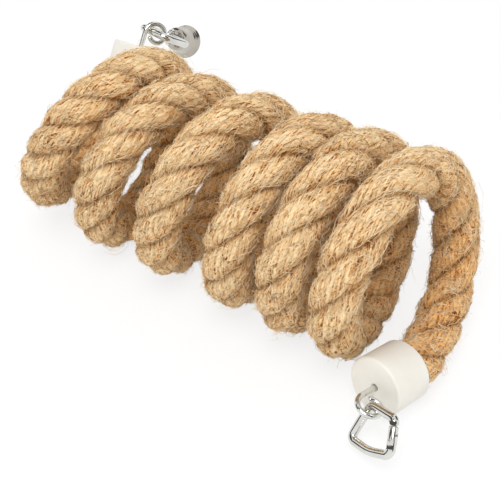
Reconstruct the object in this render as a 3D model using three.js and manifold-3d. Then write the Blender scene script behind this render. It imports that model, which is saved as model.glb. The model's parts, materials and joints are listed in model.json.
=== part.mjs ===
// Spiral rope perch: a thick rope wound on a spring wire core, a moulded cap and a wire eye at each end,
// a sprung snap link in each eye and a small bell on the far link.
// Millimetres, +Z up. The spiral lies on the floor along X, with its far end at -X and its near end at +X.

import * as THREE from 'three';
import { mergeVertices } from 'three/addons/utils/BufferGeometryUtils.js';
import Module from 'manifold-3d';

const wasm = await Module();
wasm.setup();

// Clearance between pieces that touch
const CLEARANCE = 0.3;

// Rope and its core
const ROPE_DIAMETER = 20;
const CORE_DIAMETER = 2.4;
const ROPE_SIDES = 8;
const CORE_SIDES = 6;
const STEPS_PER_LOOP = 24;
const SELF_GAP_LIMIT = 0.4;
const FLAT_DEPTH = ROPE_DIAMETER / 10;

// Spiral, counted in turns from the first floor contact at the far end: 0 is down, 0.25 front, 0.5 top, 0.75 back
const TURNS = 6;
const FAR_RADIUS = 34;
const NEAR_RADIUS = 38;
const FIRST_GAP_TURN = -0.75;
const TURN_GAPS = [10, 8, 12, 15, 5, 4, 13];
const FAN_PER_TURN = 1.6;
const SIDE_LEAN = -2.2;
const SIDE_LEAN_PER_TURN = 0.85;
const FIRST_LOOP_LIFT = 8.5;
const FIRST_LOOP_TIP = 7;
const FIRST_LOOP_FADE = [0.4, 1.1];

// Ends: the turn where the rope leaves the spiral, the way from there to the cap's face, and where the cap points
const FAR_LEAVES_AT = -0.1;
const FAR_REACH = new THREE.Vector3(2.6, 30.4, 38.9);
const FAR_AXIS = new THREE.Vector3(-0.04, 0.61, 0.79).normalize();
const FAR_EYE_SIDE = new THREE.Vector3(0.67, 0.61, -0.43);
const NEAR_LEAVES_AT = 5.88;
const NEAR_REACH = new THREE.Vector3(-2, -67.3, -2.6);
const NEAR_AXIS = new THREE.Vector3(-0.28, -0.948, 0.154).normalize();
const NEAR_EYE_SIDE = new THREE.Vector3(0.9, -0.36, -0.2);
const LEAD_HANDLES = [13, 8];
const LEAD_STRAIGHT = 5;
const LEAD_STEPS = 5;

// Moulded end caps
const CAP_LENGTH = 18.5;
const CAP_WALL = 2.6;
const CAP_FLARE = 0.2;
const CAP_FACE_ROUND = 1.2;
const CAP_END_WALL = 5;
const CAP_LEAD_IN = 0.7;
const TURNED_SEGMENTS = 28;
const RIM_STEPS = 3;

// Wire eyes
const EYE_WIRE = 2.4;
const EYE_NECK = 7.6;
const EYE_RADIUS = 5.1;
const EYE_CURL_RADIUS = 3;
const EYE_CURL_STARTS = 180;
const EYE_TURN = 315;
const WIRE_SIDES = 8;

// Snap links: bent wire with four corners, counted from the one that sits in the eye, and a sprung gate on a cross
// pin between the shoulder and the foot
const LINK_WIRE = 3.8;
const LINK_CORNER_RADIUS = 2.6;
const LINK_TOP = 9;
const LINK_HEIGHT = 9.1;
const LINK_BASE = 15.6;
const LINK_LEAN = -4.7;
const LINK_BASE_BOW = 1;
const LINK_PLAY = 0.8;
const GATE_GAP = 0.6;
const GATE_PIVOT_INSET = 2.6;
const GATE_TONGUE = 1.5;
const GATE_PIN_DIAMETER = 1.2;

// How each link hangs, in degrees: its place round the eye, its swing on the eye's wire, its roll across that wire
// and its turn in its own plane
const FAR_LINK = { at: 174.4, swing: -57.5, roll: 10.3, turn: 7.6 };
const NEAR_LINK = { at: 149.1, swing: 13.3, roll: -24.8, turn: 32.9 };

// Bell, its wire loop and its clapper
const BELL_HEIGHT = 15;
const BELL_MOUTH_DIAMETER = 17;
const BELL_WAIST_DIAMETER = 12;
const BELL_CROWN_DIAMETER = 8.6;
const BELL_WALL = 0.9;
const BELL_SWING = 1;
const BELL_LOOP_WIRE = 1.5;
const BELL_LOOP_PLAY = 0.65;
const BELL_LOOP_STEM = 2.2;
const BELL_HOOK_STEM = 1.7;
const CLAPPER_WIRE = 1.1;
const CLAPPER_PLAY = 0.1;
const CLAPPER_LENGTH = 6.3;
const CLAPPER_BALL_DIAMETER = 4.6;
const BALL_STEPS = 10;

const FINISHES = {
  rope: { color: 0xb98d56, roughness: 0.95, metalness: 0 },
  core: { color: 0x8d8f92, roughness: 0.4, metalness: 1 },
  cap: { color: 0xe6e0d2, roughness: 0.4, metalness: 0 },
  chrome: { color: 0xd4d6d8, roughness: 0.12, metalness: 1 },
  bell: { color: 0xc9c7c2, roughness: 0.22, metalness: 1 },
};

const degrees = THREE.MathUtils.degToRad;

function piece(name, finish, geometry) {
  const mesh = new THREE.Mesh(geometry, new THREE.MeshStandardMaterial(FINISHES[finish]));
  mesh.name = name;
  return mesh;
}

function groupOf(...children) {
  return new THREE.Group().add(...children);
}

// Boolean cuts

function toSolid(geometry) {
  const bare = geometry.clone();
  bare.deleteAttribute('normal');
  bare.deleteAttribute('uv');
  const merged = mergeVertices(bare, 1e-4);
  return new wasm.Manifold(new wasm.Mesh({
    numProp: 3,
    vertProperties: new Float32Array(merged.attributes.position.array),
    triVerts: new Uint32Array(merged.index.array),
  }));
}

function toGeometry(solid) {
  const mesh = solid.getMesh();
  const geometry = new THREE.BufferGeometry();
  geometry.setAttribute('position', new THREE.BufferAttribute(mesh.vertProperties, 3));
  geometry.setIndex(new THREE.BufferAttribute(mesh.triVerts, 1));
  geometry.computeVertexNormals();
  return geometry;
}

function cut(geometry, ...tools) {
  let solid = toSolid(geometry);
  for (const tool of tools) {
    solid = solid.subtract(toSolid(tool));
  }
  return toGeometry(solid);
}

// Sweeps and turned pieces

function ringOutline(radius, sides) {
  return Array.from({ length: sides }, (_, side) => {
    const angle = (2 * Math.PI * (side + 0.5)) / sides;
    return new THREE.Vector2(radius * Math.cos(angle), radius * Math.sin(angle));
  });
}

function routeThrough(points) {
  const route = new THREE.CatmullRomCurve3(points, false, 'centripetal');
  route.arcLengthDivisions = points.length * 12;
  return route;
}

function sweep(points, steps, outline, hole) {
  const section = new THREE.Shape(outline);
  if (hole) {
    section.holes.push(new THREE.Path(hole));
  }
  return new THREE.ExtrudeGeometry(section, { steps, extrudePath: routeThrough(points), bevelEnabled: false });
}

function wire(points, diameter, steps) {
  return sweep(points, steps, ringOutline(diameter / 2, WIRE_SIDES));
}

// A piece turned about Z from a closed outline of [radius, height] pairs
function turned(outline) {
  const points = outline.map(([radius, height]) => new THREE.Vector2(radius, height));
  const geometry = new THREE.LatheGeometry(points, TURNED_SEGMENTS);
  geometry.rotateX(Math.PI / 2);
  return geometry;
}

function along(point, axis, distance) {
  return point.clone().addScaledVector(axis, distance);
}

// The spiral

const ropeRadius = ROPE_DIAMETER / 2;

function advance(turn) {
  return TURN_GAPS.reduce((sum, gap, index) => {
    const turnsInto = turn - FIRST_GAP_TURN - index;
    const share = Math.min(index ? Math.max(turnsInto, 0) : turnsInto, 1);
    return sum + (ROPE_DIAMETER + gap) * share;
  }, 0);
}

function spiralPoint(turn) {
  const angle = 2 * Math.PI * turn;
  const fromMiddle = turn - TURNS / 2;
  const radius = THREE.MathUtils.lerp(FAR_RADIUS, NEAR_RADIUS, turn / TURNS);
  const first = 1 - THREE.MathUtils.smoothstep(turn, ...FIRST_LOOP_FADE);
  const fan = FAN_PER_TURN * fromMiddle - FIRST_LOOP_TIP * first;
  const lean = SIDE_LEAN + SIDE_LEAN_PER_TURN * fromMiddle;
  return new THREE.Vector3(
    advance(turn) - advance(TURNS / 2) + fan * Math.cos(angle) + lean * Math.sin(angle),
    -radius * Math.sin(angle),
    ropeRadius - FLAT_DEPTH + radius * (1 - Math.cos(angle)) + FIRST_LOOP_LIFT * first,
  );
}

const farFace = spiralPoint(FAR_LEAVES_AT).add(FAR_REACH);
const nearFace = spiralPoint(NEAR_LEAVES_AT).add(NEAR_REACH);

// The rope's bend from the spiral towards a cap and its straight run into that cap
function leadPoints(turn, outward, face, axis) {
  const start = spiralPoint(turn);
  const heading = spiralPoint(turn + outward * 1e-3).sub(start).normalize();
  const straight = along(face, axis, -CAP_LENGTH - LEAD_STRAIGHT);
  const ropeEnd = along(face, axis, -CAP_END_WALL - CLEARANCE);
  const bend = new THREE.CubicBezierCurve3(
    start,
    along(start, heading, LEAD_HANDLES[0]),
    along(straight, axis, -LEAD_HANDLES[1]),
    straight,
  );
  return [...bend.getPoints(LEAD_STEPS).slice(1), straight.clone().lerp(ropeEnd, 0.5), ropeEnd];
}

function ropePoints() {
  const turns = NEAR_LEAVES_AT - FAR_LEAVES_AT;
  const steps = Math.round(turns * STEPS_PER_LOOP);
  const loops = Array.from({ length: steps + 1 }, (_, step) => spiralPoint(FAR_LEAVES_AT + (turns * step) / steps));
  return [
    ...leadPoints(FAR_LEAVES_AT, -1, farFace, FAR_AXIS).reverse(),
    ...loops,
    ...leadPoints(NEAR_LEAVES_AT, 1, nearFace, NEAR_AXIS),
  ];
}

// The least gap between stretches of the rope that lie at least half a loop apart along it
function leastSelfGap(points) {
  const samples = routeThrough(points).getSpacedPoints(4 * points.length);
  const halfLoop = Math.ceil((Math.PI * FAR_RADIUS) / samples[0].distanceTo(samples[1]));
  let least = Infinity;
  samples.forEach((sample, index) => {
    for (const other of samples.slice(index + halfLoop)) {
      least = Math.min(least, sample.distanceTo(other));
    }
  });
  return least - ROPE_DIAMETER;
}

function buildSpiral() {
  const points = ropePoints();
  const gap = leastSelfGap(points);
  const verdict = gap > SELF_GAP_LIMIT ? 'clear' : 'too close';
  console.log(`rope: least gap to itself ${gap.toFixed(2)} mm, ${verdict}`);
  const steps = points.length - 1;
  const boreRadius = (CORE_DIAMETER / 2 + CLEARANCE) / Math.cos(Math.PI / CORE_SIDES);
  const rope = sweep(points, steps, ringOutline(ropeRadius, ROPE_SIDES), ringOutline(boreRadius, CORE_SIDES));
  const core = sweep(points, steps, ringOutline(CORE_DIAMETER / 2, CORE_SIDES));
  const reach = new THREE.Box3().setFromPoints(points).getSize(new THREE.Vector3()).length();
  const underFloor = new THREE.BoxGeometry(2 * reach, 2 * reach, ROPE_DIAMETER);
  underFloor.translate(0, 0, -ropeRadius);
  return [piece('rope', 'rope', cut(rope, underFloor)), piece('core_wire', 'core', core)];
}

// An end cap, with its origin at the centre of its closed face and Z pointing away from the rope
function buildCap(name) {
  const hole = EYE_WIRE / 2 + CLEARANCE;
  const bore = ropeRadius + CLEARANCE;
  const mouth = bore + CAP_WALL;
  const face = mouth + CAP_FLARE;
  const roundedRim = Array.from({ length: RIM_STEPS + 1 }, (_, step) => {
    const angle = (Math.PI / 2) * (step / RIM_STEPS);
    return [face - CAP_FACE_ROUND * (1 - Math.cos(angle)), -CAP_FACE_ROUND * (1 - Math.sin(angle))];
  });
  return piece(name, 'cap', turned([
    [hole, -CAP_END_WALL],
    [bore, -CAP_END_WALL],
    [bore, CAP_LEAD_IN - CAP_LENGTH],
    [bore + CAP_LEAD_IN, -CAP_LENGTH],
    [mouth, -CAP_LENGTH],
    ...roundedRim,
    [hole, 0],
    [hole, -CAP_END_WALL],
  ]));
}

// A pigtail eye in the cap's frame: a shank through the end wall, a ring over towards X and an end curled inside it
function buildEye(name) {
  const points = [-CAP_END_WALL, 0, EYE_NECK / 2].map((height) => new THREE.Vector3(0, 0, height));
  const count = 15;
  for (let step = 0; step <= count; step += 1) {
    const turn = (EYE_TURN * step) / count;
    const curl = THREE.MathUtils.smoothstep(turn, EYE_CURL_STARTS, EYE_TURN);
    const radius = THREE.MathUtils.lerp(EYE_RADIUS, EYE_CURL_RADIUS, curl);
    const angle = degrees(turn);
    points.push(new THREE.Vector3(EYE_RADIUS - radius * Math.cos(angle), 0, EYE_NECK + radius * Math.sin(angle)));
  }
  return piece(name, 'chrome', wire(points, EYE_WIRE, 34));
}

// Snap link: origin where the eye's wire runs through it, X towards the shoulder, Y towards the base, Z square to both

const linkSeat = EYE_WIRE / 2 + LINK_PLAY + LINK_WIRE / 2;
const linkCorners = [
  { centre: new THREE.Vector2(0, 0), radius: linkSeat },
  { centre: new THREE.Vector2(LINK_TOP, 0), radius: LINK_CORNER_RADIUS },
  { centre: new THREE.Vector2(LINK_LEAN + LINK_BASE, LINK_HEIGHT), radius: LINK_CORNER_RADIUS },
  { centre: new THREE.Vector2(LINK_LEAN, LINK_HEIGHT), radius: LINK_CORNER_RADIUS },
];
const linkBaseMiddle = new THREE.Vector2(LINK_LEAN + LINK_BASE / 2, LINK_HEIGHT + LINK_CORNER_RADIUS + LINK_BASE_BOW);

// The straight side from one corner to the next, with the angle of its outward normal
function linkSide(index) {
  const from = linkCorners[index];
  const to = linkCorners[(index + 1) % linkCorners.length];
  const between = to.centre.clone().sub(from.centre);
  const angle = between.angle() - Math.acos((from.radius - to.radius) / between.length());
  const outward = new THREE.Vector2(Math.cos(angle), Math.sin(angle));
  const start = along(from.centre, outward, from.radius);
  const end = along(to.centre, outward, to.radius);
  return { angle, start, end, way: end.clone().sub(start).normalize() };
}

function cornerPoints({ centre, radius }, from, to) {
  const count = 4;
  return Array.from({ length: count + 1 }, (_, step) => {
    const angle = THREE.MathUtils.lerp(from, to, step / count);
    return new THREE.Vector2(centre.x + radius * Math.cos(angle), centre.y + radius * Math.sin(angle));
  });
}

// A block along a link's side between two distances from its start, from one height to another across the plane
function sideBlock(side, from, to, low, high) {
  const block = new THREE.BoxGeometry(to - from, 2 * LINK_WIRE, high - low);
  block.translate((from + to) / 2, 0, (low + high) / 2);
  block.rotateZ(side.way.angle());
  block.translate(side.start.x, side.start.y, 0);
  return block;
}

function crossPin(centre, diameter, length) {
  const pin = new THREE.CylinderGeometry(diameter / 2, diameter / 2, length, 12);
  pin.rotateX(Math.PI / 2);
  pin.translate(centre.x, centre.y, 0);
  return pin;
}

function inLinkPlane({ x, y }) {
  return new THREE.Vector3(x, y, 0);
}

function buildLink(end) {
  const [top, gateSide, base, back] = linkCorners.map((_, index) => linkSide(index));
  const [eyeCorner, shoulder, foot, heel] = linkCorners;
  const half = LINK_WIRE / 2;
  const turningRoom = half * Math.SQRT2 + CLEARANCE;
  const cheek = GATE_TONGUE / 2;
  const pivot = along(gateSide.end, gateSide.way, -GATE_PIVOT_INSET);
  const pivotAt = gateSide.start.distanceTo(pivot);

  const bodyPoints = [
    along(pivot, gateSide.way, -half),
    pivot,
    ...cornerPoints(foot, gateSide.angle, base.angle),
    linkBaseMiddle,
    ...cornerPoints(heel, base.angle, back.angle),
    back.start.clone().lerp(back.end, 0.5),
    ...cornerPoints(eyeCorner, back.angle, top.angle + 2 * Math.PI),
    top.start.clone().lerp(top.end, 0.5),
    ...cornerPoints(shoulder, top.angle, gateSide.angle),
  ];
  const pinHole = crossPin(pivot, GATE_PIN_DIAMETER + 2 * CLEARANCE, 2 * LINK_WIRE);
  const body = cut(
    wire(bodyPoints.map(inLinkPlane), LINK_WIRE, 46),
    sideBlock(gateSide, pivotAt - LINK_WIRE, pivotAt + turningRoom, cheek, LINK_WIRE),
    sideBlock(gateSide, pivotAt - LINK_WIRE, pivotAt + turningRoom, -LINK_WIRE, -cheek),
    pinHole,
  );

  const gateNose = along(gateSide.start, gateSide.way, GATE_GAP);
  const gatePoints = [gateNose, pivot, along(pivot, gateSide.way, half)];
  const slotHalf = cheek + CLEARANCE;
  const forkSlot = sideBlock(gateSide, pivotAt - turningRoom, pivotAt + LINK_WIRE, -slotHalf, slotHalf);
  const gate = cut(wire(gatePoints.map(inLinkPlane), LINK_WIRE, 6), forkSlot, pinHole);
  return groupOf(
    piece(`${end}_link`, 'chrome', body),
    piece(`${end}_gate`, 'chrome', gate),
    piece(`${end}_gate_pin`, 'chrome', crossPin(pivot, GATE_PIN_DIAMETER, LINK_WIRE)),
  );
}

// A link hung in the ring of an eye, in the cap's frame
function hangLink(link, { at, swing, roll, turn }) {
  const angle = degrees(at);
  const outward = new THREE.Vector3(-Math.cos(angle), 0, Math.sin(angle));
  const wireWay = new THREE.Vector3(Math.sin(angle), 0, Math.cos(angle));
  const basis = new THREE.Matrix4().makeBasis(outward.clone().cross(wireWay), outward, wireWay);
  const hinge = groupOf(link);
  hinge.position.set(EYE_RADIUS, 0, EYE_NECK).addScaledVector(outward, EYE_RADIUS);
  hinge.quaternion.setFromRotationMatrix(basis);
  hinge.rotateZ(degrees(swing));
  hinge.rotateY(degrees(roll));
  hinge.rotateZ(degrees(turn));
  return hinge;
}

// Bell, with its origin on the link's base wire, Y along that wire and Z pointing out of the mouth

const loopRadius = LINK_WIRE / 2 + CLEARANCE + BELL_LOOP_WIRE / 2 + BELL_LOOP_PLAY;
const crownTop = BELL_LOOP_PLAY + loopRadius + BELL_LOOP_STEM;
const hookRadius = BELL_LOOP_WIRE / 2 + CLAPPER_WIRE / 2 + 2 * CLEARANCE;
const hookCentre = crownTop + BELL_WALL + BELL_HOOK_STEM + hookRadius;
const clapperRadius = BELL_LOOP_WIRE / 2 + CLEARANCE + CLAPPER_WIRE / 2 + CLAPPER_PLAY;

function axial(height) {
  return new THREE.Vector3(0, 0, height);
}

// A wire ring in the XZ plane with its ends beside a stem, which leaves it upwards (-1) or downwards (1)
function eyeletPoints(centre, radius, stemWay) {
  const start = 38;
  const end = 308;
  const count = 12;
  return Array.from({ length: count + 1 }, (_, step) => {
    const angle = degrees(THREE.MathUtils.lerp(start, end, step / count));
    return new THREE.Vector3(radius * Math.sin(angle), 0, centre + stemWay * radius * Math.cos(angle));
  });
}

function buildBellShell() {
  const hole = BELL_LOOP_WIRE / 2 + CLEARANCE;
  const mouth = BELL_MOUTH_DIAMETER / 2;
  const waist = BELL_WAIST_DIAMETER / 2;
  const crown = BELL_CROWN_DIAMETER / 2;
  const outside = new THREE.SplineCurve([
    new THREE.Vector2(crown, 0),
    new THREE.Vector2(crown + 0.75 * (waist - crown), 0.1 * BELL_HEIGHT),
    new THREE.Vector2(waist, 0.3 * BELL_HEIGHT),
    new THREE.Vector2(waist + 0.12 * (mouth - waist), 0.6 * BELL_HEIGHT),
    new THREE.Vector2(waist + 0.42 * (mouth - waist), 0.84 * BELL_HEIGHT),
    new THREE.Vector2(mouth, BELL_HEIGHT),
  ]).getPoints(10).map(({ x, y }) => [x, y]);
  const inside = outside.map(([radius, height]) => [
    radius - BELL_WALL,
    Math.min(height + BELL_WALL, BELL_HEIGHT),
  ]).filter(([, height], index, all) => index === all.length - 1 || height < BELL_HEIGHT);
  const shell = turned([[hole, 0], ...outside, ...inside.reverse(), [hole, BELL_WALL], [hole, 0]]);
  shell.translate(0, 0, crownTop);
  return piece('bell', 'bell', shell);
}

function buildBellLoop() {
  const upper = eyeletPoints(BELL_LOOP_PLAY, loopRadius, 1);
  const lower = eyeletPoints(hookCentre, hookRadius, -1);
  const stem = [axial(crownTop - 2 * CLEARANCE), axial(crownTop + BELL_WALL + 2 * CLEARANCE)];
  const points = [...upper.reverse(), ...stem, ...lower];
  return piece('bell_loop', 'chrome', wire(points, BELL_LOOP_WIRE, 60));
}

function buildClapper() {
  const ball = CLAPPER_BALL_DIAMETER / 2;
  const hole = CLAPPER_WIRE / 2 + CLEARANCE;
  const ringCentre = CLAPPER_PLAY;
  const ring = eyeletPoints(ringCentre, clapperRadius, 1).reverse();
  const stemTop = ringCentre + 2 * clapperRadius;
  const wirePoints = [...ring, axial(stemTop), axial(CLAPPER_LENGTH), axial(CLAPPER_LENGTH + ball - CLEARANCE)];
  const clapperWire = piece('clapper_wire', 'chrome', wire(wirePoints, CLAPPER_WIRE, 36));
  const bore = Math.sqrt(ball ** 2 - hole ** 2);
  const rim = Math.atan2(hole, bore);
  const outline = Array.from({ length: BALL_STEPS + 1 }, (_, step) => {
    const angle = THREE.MathUtils.lerp(Math.PI - rim, rim, step / BALL_STEPS);
    return [ball * Math.sin(angle), ball * Math.cos(angle)];
  });
  const clapperBall = piece('clapper_ball', 'bell', turned([...outline, outline[0]]));
  clapperBall.position.z = CLAPPER_LENGTH;
  const clapper = groupOf(clapperWire, clapperBall);
  clapper.position.z = hookCentre + hookRadius;
  clapper.rotation.z = Math.PI / 2;
  return clapper;
}

// The bell hung on the base of a link, in the link's frame
function hangBell() {
  const bell = groupOf(buildBellShell(), buildBellLoop(), buildClapper());
  const swing = degrees(BELL_SWING);
  const mouthWay = new THREE.Vector3(0, Math.cos(swing), Math.sin(swing));
  const baseWay = new THREE.Vector3(1, 0, 0);
  bell.quaternion.setFromRotationMatrix(
    new THREE.Matrix4().makeBasis(baseWay.clone().cross(mouthWay), baseWay, mouthWay),
  );
  bell.position.copy(inLinkPlane(linkBaseMiddle));
  return bell;
}

function buildEnd(end, face, axis, eyeSide, link, pose) {
  const side = along(eyeSide, axis, -eyeSide.dot(axis)).normalize();
  const frame = groupOf(buildCap(`${end}_cap`), buildEye(`${end}_eye`), hangLink(link, pose));
  frame.position.copy(face);
  frame.quaternion.setFromRotationMatrix(new THREE.Matrix4().makeBasis(side, axis.clone().cross(side), axis));
  return frame;
}

const nearLink = buildLink('near');
const farLink = buildLink('far');
farLink.add(hangBell());
const perch = groupOf(
  ...buildSpiral(),
  buildEnd('near', nearFace, NEAR_AXIS, NEAR_EYE_SIDE, nearLink, NEAR_LINK),
  buildEnd('far', farFace, FAR_AXIS, FAR_EYE_SIDE, farLink, FAR_LINK),
);
perch.name = 'spiral_rope_perch';

// The origin is at the middle of the part's box, on the floor
perch.updateMatrixWorld(true);
const box = new THREE.Box3().setFromObject(perch, true);
const middle = box.getCenter(new THREE.Vector3());
perch.position.set(-middle.x, -middle.y, -box.min.z);

export default perch;
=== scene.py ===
"""Spiral rope perch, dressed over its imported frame: a laid jute rope with loose fibres, moulded end caps,
pigtail wire eyes, gated snap links and a small bell with its clapper."""

import json
import math
from typing import NamedTuple

import bpy
import numpy as np
from bpy.props import FloatProperty, FloatVectorProperty, IntProperty, PointerProperty
from mathutils import Matrix, Vector


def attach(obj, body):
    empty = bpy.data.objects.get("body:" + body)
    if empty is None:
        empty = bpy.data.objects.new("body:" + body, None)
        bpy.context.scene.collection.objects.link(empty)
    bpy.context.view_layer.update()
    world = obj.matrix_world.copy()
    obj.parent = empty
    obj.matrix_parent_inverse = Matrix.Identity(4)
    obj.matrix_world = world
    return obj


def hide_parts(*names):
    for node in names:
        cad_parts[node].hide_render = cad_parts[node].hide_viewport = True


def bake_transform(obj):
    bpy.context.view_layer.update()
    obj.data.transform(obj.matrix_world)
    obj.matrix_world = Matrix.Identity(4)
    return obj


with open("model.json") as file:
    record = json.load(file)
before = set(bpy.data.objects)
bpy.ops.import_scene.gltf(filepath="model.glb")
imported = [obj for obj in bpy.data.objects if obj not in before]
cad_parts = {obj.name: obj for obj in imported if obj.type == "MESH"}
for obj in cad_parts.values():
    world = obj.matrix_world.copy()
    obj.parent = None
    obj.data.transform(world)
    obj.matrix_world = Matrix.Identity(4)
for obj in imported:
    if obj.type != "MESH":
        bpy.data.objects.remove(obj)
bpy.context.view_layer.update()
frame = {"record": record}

bl_info = {
    "name": "Spiral Rope Perch",
    "version": (1, 0, 0),
    "blender": (4, 5, 0),
    "location": "View3D > Sidebar > Perch",
    "description": "Builds a spiral rope perch with its end caps, eyes, snap links and bell",
    "category": "Object",
}

MM = 0.001
SEED = 7

# The spiral, in turns from the far end's first floor contact: 0 is down, 0.25 front, 0.5 top, 0.75 back.
# The gaps between turns are in millimetres.
TURNS = 6
FIRST_GAP_TURN = -0.75
TURN_GAPS = (10, 8, 12, 15, 5, 4, 13)
FAR_LEAVES_AT = -0.1
NEAR_LEAVES_AT = 5.88
FIRST_LOOP_FADE = (0.4, 1.1)
TURN_NUDGE = 1e-3

# Where each cap points, which way its eye's ring lies over, and how its link hangs in that ring, in degrees
FAR_AXIS = Vector((-0.04, 0.61, 0.79)).normalized()
FAR_EYE_SIDE = Vector((0.67, 0.61, -0.43))
FAR_LINK_HANG = {"at": 174.4, "swing": -57.5, "roll": 10.3, "turn": 7.6}
NEAR_AXIS = Vector((-0.28, -0.948, 0.154)).normalized()
NEAR_EYE_SIDE = Vector((0.9, -0.36, -0.2))
NEAR_LINK_HANG = {"at": 149.1, "swing": 13.3, "roll": -24.8, "turn": 32.9}

# How finely routes and surfaces are divided
ROUTE_STEP = 1.5 * MM
SPIRAL_POINTS = 900
LEAD_STEPS = 30
STRAIGHT_STEPS = 10
CORNER_STEPS = 12
BOW_STEPS = 8
EYE_STEPS = 15
EDGE_STEPS = 5
ROPE_SIDES = 96
TURNED_SEGMENTS = 96
WIRE_ROUNDNESS = 6
MERGE_DISTANCE = 1e-6

# How far the strands' lay, the yarns' course and the strands' thickness wander, and over what run of rope
LAY_WANDER = 0.1
LAY_WAVE = 70 * MM
YARN_WANDER = 0.5
THICKNESS_WANDER = 0.3 * MM
STRAND_WAVE = 30 * MM
STRAND_SHIFT = 370 * MM

# Painted shade: how much the groove, the slope into it and the furrows darken the rope's colour; the slope
# is a share of a strand
GROOVE_DARKENS = 0.5
SLOPE_DARKENS = 0.2
FURROW_DARKENS = 0.2
SLOPE_WIDTH = 0.2
ROPE_END_TONE = 0.5

# Loose fibres: STRAY_RISE is the power by which a stray one rises, FIBRE_FOOT how deep its foot lies in the
# rope, FIBRE_REST its least height off the floor, and CAP_MARGIN the rope left bare beside a cap
LENGTH_SPREAD = 0.35
WIGGLE = 0.125
LIFT_SHARES = (0.2, 1)
STRAY_RISE = 1.4
FIBRE_FOOT = 0.25 * MM
FIBRE_REST = 0.1 * MM
FIBRE_WIDTHS = (0.6, 1.15)
DARKEST_FIBRE = 0.08
CAP_MARGIN = 2 * MM
STEEP = 0.8

# A wire's rounded end: its rings in radians, and its length as a share of the wire. The eyelets' rings and
# the clapper's ball are in degrees from their axis.
WIRE_END_ANGLES = (0.4, 0.8, 1.2, 1.45)
WIRE_END_ROUND = 0.35
LINK_END_ROUND = 0.2
EYELET_FROM = 38
EYELET_TURN = 270
EYELET_STEPS = 12
BALL_FROM = 14
BALL_TURN = 152
BALL_STEPS = 18

# Caps, eyes and links: GATE_TAIL is a share of the wire's radius, and PIN_HEAD goes from its top down, in
# shares of the pin's radius and millimetres past the link's side
HOLE_EDGE = 0.5 * MM
SHANK_INSET = 0.5 * MM
GATE_TAIL = 0.6
PIN_HEAD = ((0.05, 0.35), (0.7, 0.28), (1.35, 0.05), (1.4, -0.25), (1, -0.3))

# The bell's outline: shares of the way from crown to waist and from waist to mouth, each at a share of the
# height; its lip in shares of the wall and millimetres past the mouth; its beads by height and size
BELL_SHOULDER = ((0.75, 0.1), (1, 0.3))
BELL_FLARE = ((0.12, 0.6), (0.42, 0.84))
BELL_LIP = ((0.3, 0.1), (0.8, 0))
BELL_BEADS = ((0.2, 0.5), (0.8, 1), (0.88, 1))

# The stage, in metres: dark cards that the bright metal mirrors, each at an azimuth and an elevation in
# degrees, where the floor goes over into the white background, and what the lamp and the cards face
FLAG_WAYS = ((-15, 42), (-105, 66), (62, 28), (150, 42), (-150, 24))
FLAG_DISTANCE = 1.6
FLAG_SIZE = (0.95, 1.5)
FLAG_TINT = (1, 0.97, 0.92, 1)
FLOOR_FADE = (0.25, 1.2)
FLOOR_DROP = 0.2 * MM
KEY_SIZE = 0.7
STAGE_TARGET = Vector((0, 0, 0.04))
WHITE = (1, 1, 1, 1)

# How much the plating darkens where it is cloudy
DULLED = 0.86


class FibreKind(NamedTuple):
    """One kind of loose fibre: reach and lifts in millimetres, tilt off the rope's run in radians."""

    name: str
    seed: int
    reach: float
    tilt: float
    lifts: tuple
    curl: float
    points: int
    tone: float
    tone_spread: float
    stands: bool


FIBRE_KINDS = (
    FibreKind("lying_fibres", SEED, 8, 0.3, (0.1, 0.8), 0.6, 5, 0.68, 0.3, False),
    FibreKind("curly_fibres", SEED + 4, 4.5, 0.9, (0.2, 1.1), 1.6, 5, 0.72, 0.3, False),
    FibreKind("fuzz_fibres", SEED + 5, 3, 1.2, (0.2, 1.3), 2.4, 4, 0.85, 0.25, False),
    FibreKind("curled_hairs", SEED + 7, 7, 0.8, (0.5, 2), 2.2, 6, 0.85, 0.25, False),
    FibreKind("stray_fibres", SEED + 1, 4.5, 0.9, (0.8, 4), 1.4, 6, 0.85, 0.25, True),
    FibreKind("long_fibres", SEED + 6, 9, 0.9, (2, 7), 1.4, 8, 0.8, 0.3, True),
)


def length(name, description, millimetres):
    return FloatProperty(
        name=name, description=description, default=millimetres * MM, unit="LENGTH", subtype="DISTANCE"
    )


def way(name, description, millimetres):
    return FloatVectorProperty(
        name=name, description=description, default=[v * MM for v in millimetres], unit="LENGTH"
    )


def number(name, description, value):
    return FloatProperty(name=name, description=description, default=value)


def whole(name, description, value):
    return IntProperty(name=name, description=description, default=value)


def colour(name, description, srgb):
    linear = [((v / 255 + 0.055) / 1.055) ** 2.4 for v in srgb]
    return FloatVectorProperty(
        name=name, description=description, default=linear, subtype="COLOR", min=0.0, max=1.0
    )


class PERCH_PG_spiral(bpy.types.PropertyGroup):
    far_radius: length("Far radius", "Radius of the rope's centre line at the far end", 34)
    near_radius: length("Near radius", "Radius of the rope's centre line at the near end", 38)
    flat_depth: length("Flat", "How far the rope is pressed flat where it lies on the floor", 2)
    fan: length("Fan", "How much further each turn's foot reaches than the turn before", 1.6)
    lean: length("Lean", "Sideways lean of the middle turn", -2.2)
    lean_change: length("Lean change", "Change of that lean from turn to turn", 0.85)
    first_lift: length("First loop lift", "How far the first loop stands off the floor", 8.5)
    first_tip: length("First loop tip", "How far the first loop tips over", 7)
    far_reach: way("Far reach", "From the spiral's far end to the far cap's face", (2.6, 30.4, 38.9))
    near_reach: way("Near reach", "From the spiral's near end to the near cap's face", (-2, -67.3, -2.6))
    lead_start: length("Lead start", "Bend handle where the rope leaves the spiral", 13)
    lead_end: length("Lead end", "Bend handle where the rope straightens for its cap", 8)
    lead_straight: length("Straight lead", "Straight run of rope before a cap", 5)


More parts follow.
